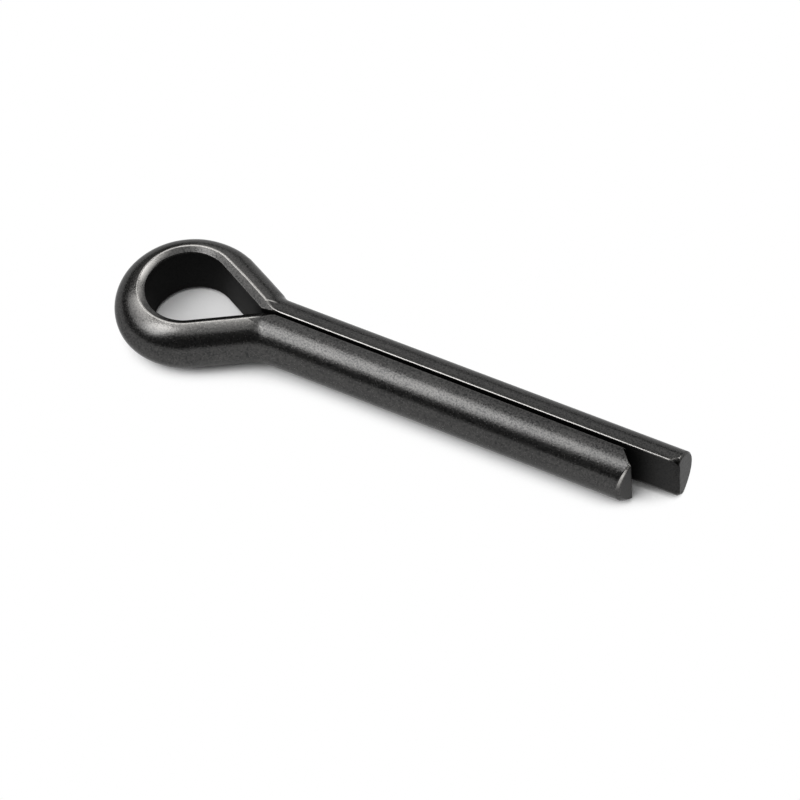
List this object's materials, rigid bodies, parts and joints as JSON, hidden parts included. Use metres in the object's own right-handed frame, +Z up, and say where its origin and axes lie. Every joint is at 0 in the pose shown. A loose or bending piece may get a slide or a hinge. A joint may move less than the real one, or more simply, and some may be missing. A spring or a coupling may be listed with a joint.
{
  "type": "split cotter pin",
  "caption": "Split cotter pin of folded half-round steel wire: a drop-shaped eye and a slit round shank with one leg longer, bent open behind a hole to keep a clevis pin in place.",
  "frame": {"origin": "on the shank's axis, where the two legs leave the bends under the eye", "axes": "+X along the shank to the tips, +Y toward the long leg, +Z up, out of the eye's flat side"},
  "size_m": [0.0651, 0.0158, 0.007],
  "materials": {
    "steel": "dark oxidised steel, satin with a fine tumbled grain, worn bright along the inner edges"
  },
  "bodies": {
    "root": {"split_pin": "steel"}
  },
  "joints": []
}
